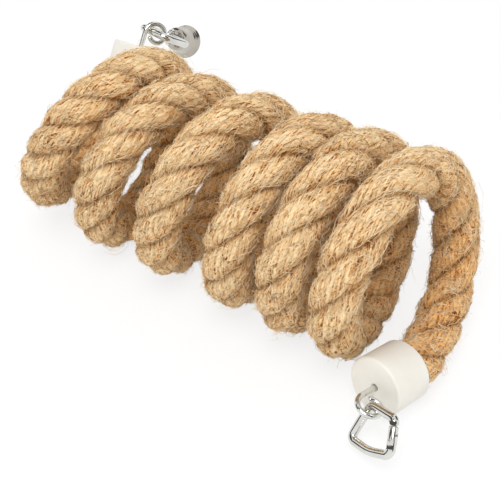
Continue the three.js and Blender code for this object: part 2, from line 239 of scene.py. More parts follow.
class PERCH_PG_rope(bpy.types.PropertyGroup):
    diameter: length("Diameter", "Across the crests of the strands", 20)
    core: length("Core", "Diameter of the spring wire inside the rope", 2.4)
    lay: length("Lay", "Length of rope in which a strand goes once round, at the far end", 42.5)
    lay_growth: number("Lay growth", "How much the lay loosens along the rope", 0.0115)
    strands: whole("Strands", "Strands laid together", 3)
    swell: length("Swell", "How far each strand's middle lies off the rope's middle", 2.4)
    groove: length("Groove", "Depth of the groove between strands", 0.9)
    groove_width: number("Groove width", "Share of a strand", 0.075)
    yarns: whole("Yarns", "Yarns side by side round the rope", 22)
    yarn_depth: length("Yarn depth", "Depth of the furrow between yarns", 0.5)
    lying_fibres: whole("Lying fibres", "Loose fibres along the yarns", 10500)
    curly_fibres: whole("Curly fibres", "Loose fibres across the yarns", 10500)
    fuzz_fibres: whole("Fuzz", "Short bleached fibres all over the rope", 15500)
    curled_hairs: whole("Hairs", "Thin pale hairs that curl over the strands", 8000)
    stray_fibres: whole("Stray fibres", "Fibres that stand off the rope", 8000)
    long_fibres: whole("Long fibres", "A few long thin fibres that stand far off", 900)
    fibre: length("Fibre", "Diameter of a fibre that lies on the rope", 0.24)
    stray_fibre: length("Stray fibre", "Diameter of a fibre that stands off the rope", 0.15)


class PERCH_PG_cap(bpy.types.PropertyGroup):
    length: length("Length", "From the mouth to the closed face", 18.5)
    wall: length("Wall", "Thickness round the rope", 2.6)
    clearance: length("Clearance", "Gap between the rope and the cap", 0.3)
    flare: length("Flare", "How much wider the face is than the mouth", 0.2)
    face_round: length("Face rounding", "Radius of the edge round the face", 1.2)
    mouth_round: length("Mouth rounding", "Radius of the edge round the mouth", 0.7)
    end_wall: length("End wall", "Thickness of the closed face", 5)


class PERCH_PG_eye(bpy.types.PropertyGroup):
    wire: length("Wire", "Diameter of the eye's wire", 2.4)
    neck: length("Neck", "From the cap's face to the middle of the ring", 7.6)
    radius: length("Radius", "Radius of the ring's wire", 5.1)
    curl_radius: length("Curl radius", "Radius at the end that is curled inside", 3)
    curl_starts: number("Curl starts", "Degrees round the ring", 180)
    turn: number("Turn", "Degrees round the ring to the wire's end", 315)


class PERCH_PG_link(bpy.types.PropertyGroup):
    wire: length("Wire", "Diameter of the link's wire", 3.8)
    corner: length("Corner radius", "Radius of the wire at three corners", 2.6)
    play: length("Play", "Room for the eye's wire in the fourth corner", 0.8)
    top: length("Top", "From the eye's corner to the shoulder", 9)
    height: length("Height", "From the top to the base", 9.1)
    base: length("Base", "From the heel to the foot", 15.6)
    lean: length("Lean", "How far the heel lies past the eye's corner", -4.7)
    bow: length("Bow", "How far the base is bowed", 1)
    gate_gap: length("Gate gap", "Gap at the gate's nose", 0.6)
    pivot_inset: length("Pivot inset", "From the foot to the gate's cross pin", 2.6)
    tongue: length("Tongue", "Thickness of the tongue in the gate's fork", 1.5)
    pin: length("Pin", "Diameter of the cross pin", 1.2)


class PERCH_PG_bell(bpy.types.PropertyGroup):
    height: length("Height", "From the crown to the mouth", 15)
    mouth: length("Mouth", "Diameter of the mouth", 17)
    waist: length("Waist", "Diameter of the waist", 12)
    crown: length("Crown", "Diameter of the crown", 8.6)
    wall: length("Wall", "Thickness of the shell", 0.9)
    bead: length("Bead", "Height of the turned beads round the shell", 0.22)
    bead_width: length("Bead width", "Width of a turned bead", 0.9)
    swing: number("Swing", "Degrees that the bell hangs off the link's plane", 1)
    loop_wire: length("Loop wire", "Diameter of the wire loop", 1.5)
    loop_play: length("Loop play", "Room between the loop and the link", 0.65)
    loop_stem: length("Loop stem", "From the loop to the crown", 2.2)
    hook_stem: length("Hook stem", "From the crown to the clapper's eyelet", 1.7)
    clearance: length("Clearance", "Least gap between wires", 0.3)
    clapper_wire: length("Clapper wire", "Diameter of the clapper's wire", 1.1)
    clapper_play: length("Clapper play", "Room in the clapper's eyelet", 0.1)
    clapper: length("Clapper", "From the clapper's eyelet to its ball", 6.3)
    ball: length("Ball", "Diameter of the clapper's ball", 4.6)


class PERCH_PG_finish(bpy.types.PropertyGroup):
    jute_bleached: colour("Bleached jute", "The palest loose fibres", (254, 237, 205))
    jute_pale: colour("Pale jute", "Pale fibres", (252, 228, 184))
    jute_mid: colour("Jute", "Most of the rope", (235, 188, 127))
    jute_dark: colour("Dark jute", "Between the fibres", (172, 111, 50))
    # the darkest jute tone and bark flecks, and also the colour of the painted shade in the grooves
    jute_deep: colour("Deep jute", "Down in the grooves", (104, 54, 17))
    # painted shade: tint multiplied onto the spiral's inner side, standing in for the warm shade that falls
    # inside the turns
    jute_sheltered: colour("Sheltered jute", "Tint of the spiral's unbleached inside", (250, 221, 180))
    plastic: colour("Cap plastic", "Cream moulding", (232, 229, 220))
    plastic_shade: colour("Cap shade", "Cloudy parts of the moulding", (227, 223, 213))
    plating: colour("Plating", "Bright wire plating", (224, 224, 219))
    silver: colour("Bell metal", "Silver plating on the bell", (188, 182, 172))
    steel: colour("Spring steel", "The wire in the rope", (150, 151, 153))
    floor: colour("Floor", "Pale floor", (250, 250, 250))


class PERCH_PG_stage(bpy.types.PropertyGroup):
    camera: way("Camera", "Where the camera stands, from the spiral's middle", (172.55, -277.0, 328.1))
    aim: FloatVectorProperty(
        name="Aim", description="The way the camera looks", default=(-0.3907, 0.6088, -0.6905)
    )
    lens: number("Lens", "Focal length on a 36 mm sensor", 72)
    key: way("Key lamp", "Where the main lamp stands", (160, -480, 1120))
    key_watts: number("Key power", "Power of the main lamp", 7.5)
    sky: number("Sky", "Strength of the soft light all round", 0.76)
    flag_tone: number("Flags", "Brightness of the dark cards that metal mirrors", 0.1)
    floor_size: length("Floor size", "Side of the floor", 6000)
    floor_white: number("Floor white", "Share of plain white near the spiral", 0.78)


class PERCH_PG_settings(bpy.types.PropertyGroup):
    spiral: PointerProperty(type=PERCH_PG_spiral)
    rope: PointerProperty(type=PERCH_PG_rope)
    cap: PointerProperty(type=PERCH_PG_cap)
    eye: PointerProperty(type=PERCH_PG_eye)
    link: PointerProperty(type=PERCH_PG_link)
    bell: PointerProperty(type=PERCH_PG_bell)
    finish: PointerProperty(type=PERCH_PG_finish)
    stage: PointerProperty(type=PERCH_PG_stage)


def settings():
    return bpy.context.scene.rope_perch


# Routes


def smoothstep(value, low, high):
    share = min(max((value - low) / (high - low), 0), 1)
    return share * share * (3 - 2 * share)


def rest_point():
    """The point on the floor under the spiral's middle turn, which the record keeps as its first mount."""
    return Vector(frame["record"]["mounts"][0]["pos_m"])


def advance(turn):
    """Distance along the spiral's axis after so many turns."""
    total = 0.0
    for index, gap in enumerate(TURN_GAPS):
        into = turn - FIRST_GAP_TURN - index
        share = min(max(into, 0) if index else into, 1)
        total += (settings().rope.diameter + gap * MM) * share
    return total


def spiral_point(turn):
    sizes = settings().spiral
    angle = 2 * math.pi * turn
    from_middle = turn - TURNS / 2
    radius = sizes.far_radius + (sizes.near_radius - sizes.far_radius) * turn / TURNS
    first = 1 - smoothstep(turn, *FIRST_LOOP_FADE)
    fan = sizes.fan * from_middle - sizes.first_tip * first
    lean = sizes.lean + sizes.lean_change * from_middle
    lowest = settings().rope.diameter / 2 - sizes.flat_depth
    return rest_point() + Vector(
        (
            advance(turn) - advance(TURNS / 2) + fan * math.cos(angle) + lean * math.sin(angle),
            -radius * math.sin(angle),
            lowest + radius * (1 - math.cos(angle)) + sizes.first_lift * first,
        )
    )


def cap_face(end):
    sizes = settings().spiral
    if end == "far":
        return spiral_point(FAR_LEAVES_AT) + Vector(sizes.far_reach), FAR_AXIS
    return spiral_point(NEAR_LEAVES_AT) + Vector(sizes.near_reach), NEAR_AXIS


def bezier(start, start_handle, end_handle, end, steps):
    points = []
    for step in range(1, steps + 1):
        t = step / steps
        s = 1 - t
        points.append(s**3 * start + 3 * s * s * t * start_handle + 3 * s * t * t * end_handle + t**3 * end)
    return points


def lead(end):
    """The rope from the spiral into one cap."""
    sizes, cap = settings().spiral, settings().cap
    turn, outward = (FAR_LEAVES_AT, -1) if end == "far" else (NEAR_LEAVES_AT, 1)
    face, axis = cap_face(end)
    start = spiral_point(turn)
    heading = (spiral_point(turn + outward * TURN_NUDGE) - start).normalized()
    straight = face - axis * (cap.length + sizes.lead_straight)
    rope_end = face - axis * (cap.end_wall + cap.clearance)
    leave, arrive = start + heading * sizes.lead_start, straight - axis * sizes.lead_end
    steps = range(1, STRAIGHT_STEPS + 1)
    bend = bezier(start, leave, arrive, straight, LEAD_STEPS)
    return bend + [straight.lerp(rope_end, step / STRAIGHT_STEPS) for step in steps]


def rope_route():
    """Even points along the rope's middle from the far cap, their places and two cross directions."""
    turns = np.linspace(FAR_LEAVES_AT, NEAR_LEAVES_AT, SPIRAL_POINTS)
    points = lead("far")[::-1] + [spiral_point(turn) for turn in turns] + lead("near")
    points = np.array([tuple(point) for point in points])
    run = np.concatenate(([0], np.cumsum(np.linalg.norm(np.diff(points, axis=0), axis=1))))
    count = int(run[-1] / ROUTE_STEP)
    places = np.linspace(0, run[-1], count + 1)
    points = np.stack([np.interp(places, run, points[:, axis]) for axis in range(3)], axis=1)
    return points, places, *carried_frames(points)


def carried_frames(points):
    """Two cross directions along a route, carried on without twist."""
    tangents = np.gradient(points, axis=0)
    tangents /= np.linalg.norm(tangents, axis=1)[:, None]
    side = np.cross(tangents[0], (0, 0, 1))
    sides = []
    for tangent in tangents:
        side = side - tangent * side.dot(tangent)
        side /= np.linalg.norm(side)
        sides.append(side)
    sides = np.array(sides)
    return sides, np.cross(tangents, sides)


def ripple(values, waves, reach, seed):
    """A smooth random curve between about -1 and 1."""
    chance = np.random.default_rng(seed)
    total = np.zeros_like(values)
    for _ in range(waves):
        wave = reach * chance.uniform(0.5, 2)
        total += np.sin(values * 2 * np.pi / wave + chance.uniform(0, 2 * np.pi))
    return total / math.sqrt(waves)


def catmull(points, steps):
    """A smooth route through points, with so many steps between one and the next."""
    points = [Vector(point) for point in points]
    padded = [2 * points[0] - points[1], *points, 2 * points[-1] - points[-2]]
    route = [points[0]]
    for before, start, end, after in zip(padded, padded[1:], padded[2:], padded[3:]):
        for step in range(1, steps + 1):
            t = step / steps
            square = (2 * before - 5 * start + 4 * end - after) * t * t
            cube = (3 * start - before - 3 * end + after) * t**3
            route.append(0.5 * (2 * start + (end - before) * t + square + cube))
    return route


# Mesh helpers


def deselect_all():
    for item in bpy.context.selected_objects:
        item.select_set(False)


def mesh_piece(name, points, faces):
    mesh = bpy.data.meshes.new(name)
    mesh.from_pydata(points.tolist(), [], faces)
    mesh.update()
    piece = bpy.data.objects.new(name, mesh)
    bpy.context.scene.collection.objects.link(piece)
    return piece


def write_attribute(piece, name, kind, values):
    attribute = piece.data.attributes.new(name, kind, "POINT")
    field = "vector" if kind == "FLOAT_VECTOR" else "value"
    attribute.data.foreach_set(field, np.asarray(values, np.float32).ravel())


def stretch_with_spiral(piece):
    """Bakes the piece's placement into its mesh, so that its object stays at the origin."""
    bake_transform(piece)


def finish_piece(piece, matrix, material, smooth_angle=35):
    """Puts a piece in its place, shades it and leaves its object at the origin."""
    deselect_all()
    piece.select_set(True)
    bpy.context.view_layer.objects.active = piece
    piece.data.transform(matrix)
    piece.data.materials.clear()
    piece.data.materials.append(material)
    bpy.ops.object.shade_smooth_by_angle(angle=math.radians(smooth_angle))


def turn_on_axis(name, outline):
    """A piece turned about Z from an outline of (radius, height) pairs, one extruded ring after another."""
    deselect_all()
    radius, height = outline[0]
    bpy.ops.mesh.primitive_circle_add(vertices=TURNED_SEGMENTS, radius=radius)
    piece = bpy.context.object
    piece.name = piece.data.name = name
    bpy.ops.object.mode_set(mode="EDIT")
    bpy.ops.mesh.select_all(action="SELECT")
    bpy.ops.transform.translate(value=(0, 0, height))
    for next_radius, next_height in outline[1:]:
        bpy.ops.mesh.extrude_region_move(TRANSFORM_OT_translate={"value": (0, 0, next_height - height)})
        share = next_radius / radius
        bpy.ops.transform.resize(value=(share, share, 1), center_override=(0, 0, next_height))
        radius, height = next_radius, next_height
    bpy.ops.mesh.select_all(action="SELECT")
    bpy.ops.mesh.remove_doubles(threshold=MERGE_DISTANCE)
    bpy.ops.mesh.normals_make_consistent(inside=False)
    bpy.ops.object.mode_set(mode="OBJECT")
    return piece


def bend_wire(name, route, diameter, round_ends=WIRE_END_ROUND):
    """A wire bent along a route, with rounded ends, from a bevelled curve."""
    deselect_all()
    bpy.ops.curve.primitive_bezier_curve_add()
    piece = bpy.context.object
    piece.name = piece.data.name = name
    curve = piece.data
    curve.dimensions = "3D"
    curve.bevel_depth = diameter / 2
    curve.bevel_resolution = WIRE_ROUNDNESS
    curve.use_fill_caps = True
    curve.splines.clear()
    spline = curve.splines.new("POLY")
    rounding = round_ends * diameter
    start_way = (route[0] - route[1]).normalized()
    end_way = (route[-1] - route[-2]).normalized()
    placed = [(point, 1.0) for point in route]
    for angle in WIRE_END_ANGLES:
        past = rounding * math.sin(angle)
        placed.insert(0, (route[0] + start_way * past, math.cos(angle)))
        placed.append((route[-1] + end_way * past, math.cos(angle)))
    spline.points.add(len(placed) - 1)
    for point, (place, share) in zip(spline.points, placed):
        point.co = (*place, 1)
        point.radius = share
    bpy.ops.object.convert(target="MESH")
    return bpy.context.object


def cut_by_box(piece, matrix, low, high):
    """Cuts a box between two corners, given in a frame, out of a piece."""
    deselect_all()
    bpy.ops.mesh.primitive_cube_add(size=1)
    tool = bpy.context.object
    low, high = Vector(low), Vector(high)
    tool.data.transform(matrix @ Matrix.Translation((low + high) / 2) @ Matrix.Diagonal((*(high - low), 1)))
    deselect_all()
    piece.select_set(True)
    bpy.context.view_layer.objects.active = piece
    cutter = piece.modifiers.new("Cut", "BOOLEAN")
    cutter.operation = "DIFFERENCE"
    cutter.solver = "EXACT"
    cutter.object = tool
    bpy.ops.object.modifier_apply(modifier=cutter.name)
    bpy.data.objects.remove(tool)


# Frames of the two ends


def basis(x, y, z, origin):
    matrix = Matrix((x, y, z)).transposed().to_4x4()
    matrix.translation = origin
    return matrix


def cap_frame(end):
    """Origin at the centre of the closed face, Z away from the rope, X the way the eye's ring lies over."""
    face, axis = cap_face(end)
    eye_side = FAR_EYE_SIDE if end == "far" else NEAR_EYE_SIDE
    side = (eye_side - axis * eye_side.dot(axis)).normalized()
    return basis(side, axis.cross(side), axis, face)


def link_frame(end):
    """Origin where the eye's wire runs through the link, X towards the shoulder, Y towards the base."""
    eye = settings().eye
    hang = FAR_LINK_HANG if end == "far" else NEAR_LINK_HANG
    angle = math.radians(hang["at"])
    outward = Vector((-math.cos(angle), 0, math.sin(angle)))
    wire_way = Vector((math.sin(angle), 0, math.cos(angle)))
    place = Vector((eye.radius, 0, eye.neck)) + outward * eye.radius
    hinge = basis(outward.cross(wire_way), outward, wire_way, place)
    for key, axis in (("swing", "Z"), ("roll", "Y"), ("turn", "Z")):
        hinge = hinge @ Matrix.Rotation(math.radians(hang[key]), 4, axis)
    return cap_frame(end) @ hinge


class LinkOutline:
    """The middle line of a link's wire: four corners, counted from the one in the eye, and their sides."""

    def __init__(self):
        sizes = settings().link
        seat = settings().eye.wire / 2 + sizes.play + sizes.wire / 2
        self.corners = [
            (Vector((0, 0)), seat),
            (Vector((sizes.top, 0)), sizes.corner),
            (Vector((sizes.lean + sizes.base, sizes.height)), sizes.corner),
            (Vector((sizes.lean, sizes.height)), sizes.corner),
        ]
        bowed = sizes.height + sizes.corner + sizes.bow
        self.base_middle = Vector((sizes.lean + sizes.base / 2, bowed))
        self.sides = [self.side(index) for index in range(4)]
        _, _, gate_end, gate_way = self.sides[1]
        self.pivot = gate_end - gate_way * sizes.pivot_inset

    def side(self, index):
        centre, radius = self.corners[index]
        next_centre, next_radius = self.corners[(index + 1) % 4]
        between = next_centre - centre
        angle = math.atan2(between.y, between.x) - math.acos((radius - next_radius) / between.length)
        outward = Vector((math.cos(angle), math.sin(angle)))
        start, end = centre + outward * radius, next_centre + outward * next_radius
        return angle, start, end, (end - start).normalized()

    def corner(self, index, from_angle, to_angle):
        centre, radius = self.corners[index]
        while to_angle < from_angle:
            to_angle += 2 * math.pi
        angles = np.linspace(from_angle, to_angle, CORNER_STEPS + 1)
        return [centre + radius * Vector((math.cos(a), math.sin(a))) for a in angles]

    def body(self):
        sizes = settings().link
        top, gate, base, back = self.sides
        heel = self.corner(3, base[0], back[0])
        foot = self.corner(2, gate[0], base[0])
        bowed = catmull([foot[-2], foot[-1], self.base_middle, heel[0], heel[1]], BOW_STEPS)
        return [
            self.pivot - gate[3] * sizes.wire / 2,
            self.pivot,
            *foot[:-1],
            *bowed[BOW_STEPS : 3 * BOW_STEPS + 1],
            *heel[1:],
            *self.corner(0, back[0], top[0]),
            *self.corner(1, top[0], gate[0]),
        ]


def bell_frame():
    """Origin on the far link's base wire, Y along that wire and Z out of the bell's mouth."""
    swing = math.radians(settings().bell.swing)
    mouth_way = Vector((0, math.cos(swing), math.sin(swing)))
    base_way = Vector((1, 0, 0))
    middle = LinkOutline().base_middle.to_3d()
    return link_frame("far") @ basis(base_way.cross(mouth_way), base_way, mouth_way, middle)


class BellSpan:
    """Heights and radii along the bell's axis that its pieces share."""

    def __init__(self):
        bell, link = settings().bell, settings().link
        wire, thin_wire = bell.loop_wire / 2, bell.clapper_wire / 2
        self.loop_radius = link.wire / 2 + bell.clearance + wire + bell.loop_play
        self.crown_top = bell.loop_play + self.loop_radius + bell.loop_stem
        self.hook_radius = wire + thin_wire + 2 * bell.clearance
        self.hook_centre = self.crown_top + bell.wall + bell.hook_stem + self.hook_radius
        self.clapper_radius = wire + bell.clearance + thin_wire + bell.clapper_play
        self.clapper_at = self.hook_centre + self.hook_radius


def eyelet(centre, radius, stem_way):
    """A ring of wire in the XZ plane whose ends lie beside a stem."""
    steps = range(EYELET_STEPS + 1)
    angles = [math.radians(EYELET_FROM + EYELET_TURN * step / EYELET_STEPS) for step in steps]
    return [Vector((radius * math.sin(a), 0, centre + stem_way * radius * math.cos(a))) for a in angles]


def on_axis(height):
    return Vector((0, 0, height))


# Materials


def node_group(name, inputs, outputs):
    group = bpy.data.node_groups.new(name, "ShaderNodeTree")
    for socket, kind in inputs:
        group.interface.new_socket(name=socket, in_out="INPUT", socket_type=kind)
    for socket, kind in outputs:
        group.interface.new_socket(name=socket, in_out="OUTPUT", socket_type=kind)
    return group, group.nodes.new("NodeGroupInput"), group.nodes.new("NodeGroupOutput")


def put(tree, socket, value):
    """Links a socket to another one, or sets it."""
    if isinstance(value, bpy.types.NodeSocket):
        tree.links.new(value, socket)
    else:
        socket.default_value = value


def add(tree, kind, links=None, **values):
    """A node with its properties or socket values set, and links into it from other sockets."""
    node = tree.nodes.new(kind)
    for key, value in values.items():
        if key in node.inputs:
            node.inputs[key].default_value = value
        else:
            setattr(node, key, value)
    for socket, source in (links or {}).items():
        tree.links.new(source, node.inputs[socket])
    return node


def ramp(tree, source, stops):
    """Colours or grey levels at places from 0 to 1."""
    node = add(tree, "ShaderNodeValToRGB", {"Fac": source})
    elements = node.color_ramp.elements
    while len(elements) < len(stops):
        elements.new(0.5)
    for element, (place, shade) in zip(elements, stops):
        element.position = place
        element.color = (*shade, 1) if hasattr(shade, "__len__") else (shade, shade, shade, 1)
    return node.outputs["Color"]


def noise(tree, vector, scale=1.0, detail=3.0, roughness=0.55, distortion=0.0):
    values = {"Scale": scale, "Detail": detail, "Roughness": roughness, "Distortion": distortion}
    return add(tree, "ShaderNodeTexNoise", {"Vector": vector}, **values).outputs["Fac"]


def stretched(tree, vector, along, across):
    node = add(tree, "ShaderNodeMapping", {"Vector": vector}, Scale=(along, across, across))
    return node.outputs["Vector"]


def computed(tree, operation, first, second):
    node = add(tree, "ShaderNodeMath", operation=operation)
    put(tree, node.inputs[0], first)
    put(tree, node.inputs[1], second)
    return node.outputs[0]


def twisted(tree, vector, per_millimetre):
    """Turns a place on the rope about the rope's middle, further and further along it."""
    along = add(tree, "ShaderNodeSeparateXYZ", {"Vector": vector}).outputs["X"]
    angle = computed(tree, "MULTIPLY", along, per_millimetre)
    turned = add(tree, "ShaderNodeVectorRotate", {"Vector": vector, "Angle": angle}, rotation_type="X_AXIS")
    return turned.outputs["Vector"]


def mixed(tree, factor, first, second, blend="MIX"):
    """One colour socket with a plain colour mixed into it."""
    node = add(tree, "ShaderNodeMix", data_type="RGBA", blend_type=blend)
    put(tree, node.inputs[0], factor)
    put(tree, node.inputs[6], first)
    put(tree, node.inputs[7], (*second, 1))
    return node.outputs[2]


def mapped(tree, value, low, high, to_low, to_high):
    """A value taken from one range to another."""
    node = add(tree, "ShaderNodeMapRange", {"Value": value})
    for socket, given in (("From Min", low), ("From Max", high), ("To Min", to_low), ("To Max", to_high)):
        put(tree, node.inputs[socket], given)
    return node.outputs["Result"]


def relief(tree, shader, height, strength, millimetres):
    """Gives a shader a bump of so many millimetres."""
    bump = add(tree, "ShaderNodeBump", {"Height": height}, Strength=strength, Distance=millimetres * MM)
    tree.links.new(bump.outputs["Normal"], shader.inputs["Normal"])


def new_material(name, **shader_values):
    material = bpy.data.materials.new(name)
    material.use_nodes = True
    tree = material.node_tree
    shader = tree.nodes["Principled BSDF"]
    for key, value in shader_values.items():
        shader.inputs[key.replace("_", " ")].default_value = value
    return material, tree, shader


def worn_plating_group():
    """Fine rub marks and cloudy patches on bright metal: roughness, height and cloud over the surface."""
    if "Rubbed plating" in bpy.data.node_groups:
        return bpy.data.node_groups["Rubbed plating"]
    group, given, result = node_group(
        "Rubbed plating",
        [("Smooth", "NodeSocketFloat"), ("Rubbed", "NodeSocketFloat")],
        [("Roughness", "NodeSocketFloat"), ("Height", "NodeSocketFloat"), ("Cloud", "NodeSocketFloat")],
    )
    place = add(group, "ShaderNodeTexCoord").outputs["Object"]
    scratches = noise(group, stretched(group, place, along=300, across=2600), detail=4.0)
    clouds = noise(group, place, scale=160.0)
    marks = computed(group, "MULTIPLY", scratches, clouds)
    smooth, rubbed = given.outputs["Smooth"], given.outputs["Rubbed"]
    roughness = mapped(group, marks, low=0.12, high=0.42, to_low=smooth, to_high=rubbed)
    for name, source in (("Roughness", roughness), ("Height", scratches), ("Cloud", clouds)):
        group.links.new(source, result.inputs[name])
    return group


def bright_metal(name, shade, smooth, rubbed, bump):
    if name in bpy.data.materials:
        return bpy.data.materials[name]
    material, tree, shader = new_material(name, Metallic=1.0)
    wear = add(tree, "ShaderNodeGroup", node_tree=worn_plating_group(), Smooth=smooth, Rubbed=rubbed)
    dull = [channel * DULLED for channel in shade]
    tint = ramp(tree, wear.outputs["Cloud"], [(0.3, dull), (0.62, shade)])
    tree.links.new(tint, shader.inputs["Base Color"])
    tree.links.new(wear.outputs["Roughness"], shader.inputs["Roughness"])
    relief(tree, shader, wear.outputs["Height"], strength=bump, millimetres=0.02)
    return material


def chrome():
    return bright_metal("Bright chrome", settings().finish.plating, smooth=0.03, rubbed=0.12, bump=0.2)


def bell_silver():
    return bright_metal("Bell silver", settings().finish.silver, smooth=0.1, rubbed=0.22, bump=0.3)


def spring_steel():
    return bright_metal("Spring steel", settings().finish.steel, smooth=0.3, rubbed=0.5, bump=0.5)


def jute_group():
    """Tone of jute at a place: streaks along the fibres, cloudy patches, bits of bark, and painted groove
    and inner shade.
    """
    if "Jute tone" in bpy.data.node_groups:
        return bpy.data.node_groups["Jute tone"]
    finish = settings().finish
    group, given, result = node_group(
        "Jute tone",
        [("Place", "NodeSocketVector"), ("Recess", "NodeSocketFloat"), ("Shelter", "NodeSocketFloat")],
        [("Color", "NodeSocketColor"), ("Height", "NodeSocketFloat")],
    )
    place = given.outputs["Place"]
    along_yarns = stretched(group, twisted(group, place, 0.012), along=0.17, across=1.35)
    across_yarns = stretched(group, twisted(group, place, -0.06), along=0.22, across=1.2)
    fine = noise(group, along_yarns, roughness=0.6, distortion=0.3)
    crossing = noise(group, across_yarns, roughness=0.6, distortion=0.6)
    felted = noise(group, place, scale=0.9, roughness=0.65, distortion=1.0)
    clouds = noise(group, place, scale=0.045, roughness=0.6)
    flecks = noise(group, stretched(group, place, along=0.3, across=0.8), detail=1.0, roughness=0.4)
    tone = computed(group, "MULTIPLY", fine, 0.66)
    for layer, share in ((crossing, 0.42), (felted, 0.22), (clouds, 0.16)):
        tone = computed(group, "ADD", tone, computed(group, "MULTIPLY", layer, share))
    stops = [
        (0.575, finish.jute_deep),
        (0.64, finish.jute_dark),
        (0.688, finish.jute_mid),
        (0.765, finish.jute_pale),
    ]
    shade = ramp(group, tone, stops)
    bark = ramp(group, flecks, [(0.72, 0.0), (0.76, 0.7)])
    shade = mixed(group, bark, shade, finish.jute_deep)
    # painted shade: grooves and furrows are mixed toward the deepest jute colour
    shade = mixed(group, given.outputs["Recess"], shade, finish.jute_deep)
    # painted shade: the spiral's inner side is multiplied by a warmer, darker tint
    shade = mixed(group, given.outputs["Shelter"], shade, finish.jute_sheltered, "MULTIPLY")
    height = computed(group, "ADD", fine, computed(group, "MULTIPLY", crossing, 0.7))
    group.links.new(shade, result.inputs["Color"])
    group.links.new(height, result.inputs["Height"])
    return group


def laid_jute():
    if "Laid jute" in bpy.data.materials:
        return bpy.data.materials["Laid jute"]
    material, tree, shader = new_material("Laid jute", Roughness=0.92, Specular_IOR_Level=0.08)
    jute = add(tree, "ShaderNodeGroup", node_tree=jute_group())
    written = (
        ("rope_place", "Vector", "Place"),
        ("rope_recess", "Fac", "Recess"),
        ("rope_shelter", "Fac", "Shelter"),
    )
    for name, output, socket in written:
        attribute = add(tree, "ShaderNodeAttribute", attribute_name=name)
        tree.links.new(attribute.outputs[output], jute.inputs[socket])
    tree.links.new(jute.outputs["Color"], shader.inputs["Base Color"])
    relief(tree, shader, jute.outputs["Height"], strength=0.85, millimetres=0.9)
    return material


def loose_jute():
    if "Loose jute" in bpy.data.materials:
        return bpy.data.materials["Loose jute"]
    finish = settings().finish
    material, tree, shader = new_material("Loose jute", Roughness=0.85, Specular_IOR_Level=0.08)
    tone = add(tree, "ShaderNodeAttribute", attribute_name="fibre_tone").outputs["Fac"]
    stops = [
        (0.0, finish.jute_deep),
        (0.1, finish.jute_dark),
        (0.35, finish.jute_mid),
        (0.7, finish.jute_pale),
        (1.0, finish.jute_bleached),
    ]
    tree.links.new(ramp(tree, tone, stops), shader.inputs["Base Color"])
    return material


def cream_plastic():
    if "Cream plastic" in bpy.data.materials:
        return bpy.data.materials["Cream plastic"]
    finish = settings().finish
    material, tree, shader = new_material("Cream plastic", Specular_IOR_Level=0.4)
    place = add(tree, "ShaderNodeTexCoord").outputs["Object"]
    clouds = noise(tree, place, scale=90.0, detail=4.0)
    grain = noise(tree, place, scale=2600.0)
    shade = ramp(tree, clouds, [(0.35, finish.plastic_shade), (0.65, finish.plastic)])
    gloss = ramp(tree, clouds, [(0.3, 0.36), (0.7, 0.5)])
    tree.links.new(shade, shader.inputs["Base Color"])
    tree.links.new(gloss, shader.inputs["Roughness"])
    relief(tree, shader, grain, strength=0.18, millimetres=0.08)
    return material


# Rope


def strand_surface(angle, place):
    """The surface's distance from the rope's middle at an angle and a place, and the painted shade of its
    grooves.
    """
    rope = settings().rope
    half = math.pi / rope.strands
    laid = np.log(1 + rope.lay_growth * place / rope.lay) / rope.lay_growth
    wander = ripple(place, waves=5, reach=LAY_WAVE, seed=SEED + 2)
    turned = angle - 2 * math.pi * laid + LAY_WANDER * wander
    index = np.floor((turned + half) / (2 * half))
    within = turned - index * 2 * half
    strand = place + index % rope.strands * STRAND_SHIFT
    body = rope.diameter / 2 - rope.swell
    radius = rope.swell * np.cos(within) + np.sqrt(body**2 - (rope.swell * np.sin(within)) ** 2)
    to_groove = (half - np.abs(within)) / (2 * half)
    groove = np.exp(-((to_groove / rope.groove_width) ** 2))
    slope = np.exp(-((to_groove / SLOPE_WIDTH) ** 2))
    course = YARN_WANDER * ripple(strand, waves=4, reach=STRAND_WAVE, seed=SEED + 3)
    furrow = (1 - np.abs(np.sin(rope.yarns * angle / 2 + course))) ** 2
    uneven = THICKNESS_WANDER * ripple(strand, waves=5, reach=STRAND_WAVE, seed=SEED) * (1 - groove)
    radius = radius - rope.groove * groove - rope.yarn_depth * furrow + uneven
    # painted shade: the groove, the slope into it and the yarn furrows darken the colour where shade falls
    groove_shade = GROOVE_DARKENS * groove**2 + SLOPE_DARKENS * slope + FURROW_DARKENS * furrow
    return radius, np.clip(groove_shade, 0, 1)


def rope_surface_points(places, angles, points, sides, ups, lift=0.0):
    radius, groove_shade = strand_surface(angles, places)
    out = sides * np.cos(angles)[:, None] + ups * np.sin(angles)[:, None]
    return points + out * (radius + lift)[:, None], groove_shade


def on_floor(points, least):
    """Presses points that would lie under the floor flat on it."""
    points[:, 2] = np.maximum(points[:, 2], least)
    return points


def tube_faces(rings, sides):
    """Walls of a tube of rings, and the fans that close it round two points that follow the last ring."""
    around = [(side, (side + 1) % sides) for side in range(sides)]
    end = (rings - 1) * sides
    walls = []
    for here in range(0, end, sides):
        there = here + sides
        walls += [(here + side, here + beside, there + beside, there + side) for side, beside in around]
    fans = []
    for side, beside in around:
        fans.append((rings * sides, beside, side))
        fans.append((rings * sides + 1, end + side, end + beside))
    return walls, fans


